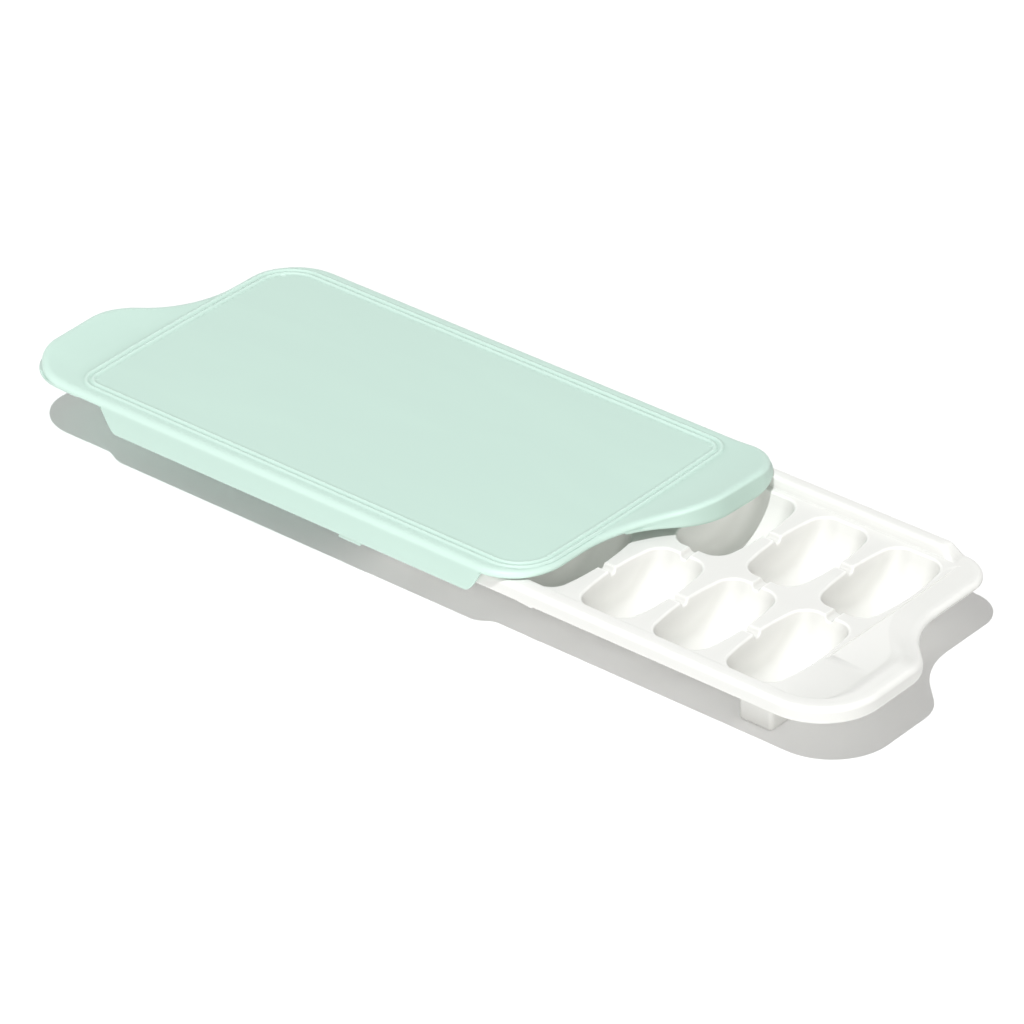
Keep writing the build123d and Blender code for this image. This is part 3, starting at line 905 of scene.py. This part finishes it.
whiteFinish = {
    "Colour": (0.80, 0.80, 0.775),
    "Flow Colour": (0.82, 0.82, 0.795),
    # a painted highlight on edges, lips and rims
    "Edge Highlight Colour": (0.90, 0.90, 0.875),
    # painted shade in cups, creases and fillets
    "Hollow Shade Colour": (0.72, 0.72, 0.695),
    "Roughness": 0.28,       # at its smoothest
    "Roughness Spread": 0.22,
    "Grain": 0.3,
}
footFinish = {
    **whiteFinish,
    "Edge Highlight Colour": whiteFinish["Colour"],  # the feet's coarse faces carry no painted edge highlight or painted hollow shade
    "Hollow Shade Colour": whiteFinish["Colour"],
}
mintFinish = {
    "Colour": (0.548, 0.725, 0.648),
    "Flow Colour": (0.56, 0.74, 0.66),
    # a painted highlight on edges
    "Edge Highlight Colour": (0.62, 0.80, 0.722),
    # painted shade in hollows
    "Hollow Shade Colour": (0.50, 0.67, 0.595),
    "Roughness": 0.36,
    "Roughness Spread": 0.15,
    "Grain": 0.5,
}

# the shared surface also carries a painted highlight on edges and painted shade in hollows
surface = makeMouldedSurfaceWithPaintedLight()
white = plasticMaterial("whitePlastic", surface, whiteFinish)
footWhite = plasticMaterial("footPlastic", surface, footFinish)
mint = plasticMaterial("mintPlastic", surface, mintFinish)
print("plastics are mixed")

cover = makeCover()
tray = makeTray()
paint(cover, mint)
paint(tray, white)
for name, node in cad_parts.items():
    if name.startswith("foot_"):
        paint(node, footWhite)
print("pieces are painted")

# Floor and light, in metres and watts
studio = {
    "surround": 0.34,
    "surroundColour": (1, 0.99, 0.955),
    "lampPower": 172,
    "lampColour": (0.97, 0.985, 1),
    "lampRadius": 0.02,      # a small lamp draws a crisp shadow
    "lampPlace": (0.22, -0.88, 2.3),
    "fillPower": 1.12,       # a wide low light from the front that draws no shadow
    "fillColour": (1, 0.99, 0.97),
    "fillAngle": 40,
    "fillFrom": (0.9, -0.9, 0.32),
    "floorSize": 8,
    "floorTone": 0.93,
    "floorGlow": (0.08, 0.4),  # lifts the floor to white where it is seen: here and far off
    "floorReach": (0.22, 0.55),  # from the middle
    "floorBounce": 0.92,
}


def seenDirectly(nodes, links):  # 1 for rays from the camera, and for those by way of gloss or glass
    path = nodes.new("ShaderNodeLightPath")
    seen = path.outputs["Is Camera Ray"]
    for ray in ("Is Glossy Ray", "Is Transmission Ray"):
        both = nodes.new("ShaderNodeMath")
        both.operation = 'MAXIMUM'
        links.new(seen, both.inputs[0])
        links.new(path.outputs[ray], both.inputs[1])
        seen = both.outputs["Value"]
    return seen


def floorMaterial():
    material = bpy.data.materials.new("floorPaint")
    material.use_nodes = True
    nodes, links = material.node_tree.nodes, material.node_tree.links
    shown = nodes["Principled BSDF"]
    shown.inputs["Base Color"].default_value = (studio["floorTone"],) * 3 + (1,)
    shown.inputs["Roughness"].default_value = 1
    shown.inputs["Specular IOR Level"].default_value = 0
    shown.inputs["Emission Color"].default_value = (1, 1, 1, 1)
    place = nodes.new("ShaderNodeTexCoord")
    reach = nodes.new("ShaderNodeVectorMath")
    reach.operation = 'LENGTH'
    glow = fadeNode(nodes, studio["floorReach"])
    glow.inputs["To Min"].default_value, glow.inputs["To Max"].default_value = studio["floorGlow"]
    links.new(place.outputs["Object"], reach.inputs[0])
    links.new(reach.outputs["Value"], glow.inputs["Value"])
    links.new(glow.outputs["Result"], shown.inputs["Emission Strength"])
    bounce = nodes.new("ShaderNodeBsdfDiffuse")
    bounce.inputs["Color"].default_value = (studio["floorBounce"],) * 3 + (1,)
    mix = nodes.new("ShaderNodeMixShader")
    links.new(seenDirectly(nodes, links), mix.inputs["Fac"])
    links.new(bounce.outputs["BSDF"], mix.inputs[1])
    links.new(shown.outputs["BSDF"], mix.inputs[2])
    links.new(mix.outputs["Shader"], nodes["Material Output"].inputs["Surface"])
    return material


def addFloor():
    bpy.ops.mesh.primitive_plane_add(size=studio["floorSize"])
    floor = bpy.context.object
    floor.name = "floor"
    paint(floor, floorMaterial())


def lightSurround():
    world = bpy.context.scene.world or bpy.data.worlds.new("studio")
    bpy.context.scene.world = world
    world.use_nodes = True
    nodes, links = world.node_tree.nodes, world.node_tree.links
    nodes["Background"].inputs["Color"].default_value = (*studio["surroundColour"], 1)
    strength = nodes.new("ShaderNodeMapRange")
    strength.inputs["To Min"].default_value = studio["surround"]
    links.new(seenDirectly(nodes, links), strength.inputs["Value"])
    links.new(strength.outputs["Result"], nodes["Background"].inputs["Strength"])


def addLamp():
    bpy.ops.object.light_add(type='POINT', location=studio["lampPlace"])
    lamp = bpy.context.object
    lamp.name = "mainLamp"
    lamp.data.energy = studio["lampPower"]
    lamp.data.color = studio["lampColour"]
    lamp.data.shadow_soft_size = studio["lampRadius"]


def addFill():
    bpy.ops.object.light_add(type='SUN')
    fill = bpy.context.object
    fill.name = "fillLight"
    fill.data.energy = studio["fillPower"]
    fill.data.color = studio["fillColour"]
    fill.data.angle = radians(studio["fillAngle"])
    fill.data.use_shadow = False
    fill.rotation_euler = Vector(studio["fillFrom"]).to_track_quat('Z', 'Y').to_euler()


addFloor()
lightSurround()
addLamp()
addFill()
print("studio is set")

view = {
    "azimuth": 39.58,
    "elevation": 31.405,
    "distance": 2.4786,      # metres
    "target": (-56.25, -17.9, 20.0),  # millimetres, from the tray's middle
    "focal": 6.21953,        # in picture widths
    "sensor": 36,
    "farthest": 20,          # metres
}


def addCamera():
    azimuth, elevation = radians(view["azimuth"]), radians(view["elevation"])
    back = Vector((sin(azimuth) * cos(elevation), -cos(azimuth) * cos(elevation), sin(elevation)))
    target = (Vector(view["target"]) + Vector((trayX, 0, 0))) * mm
    bpy.ops.object.camera_add(location=target + back * view["distance"])
    camera = bpy.context.object
    camera.rotation_euler = back.to_track_quat('Z', 'Y').to_euler()
    camera.data.sensor_width = view["sensor"]
    camera.data.lens = view["focal"] * view["sensor"]
    camera.data.clip_end = view["farthest"]
    bpy.context.scene.camera = camera


addCamera()
bpy.context.scene.view_settings.view_transform = 'Standard'
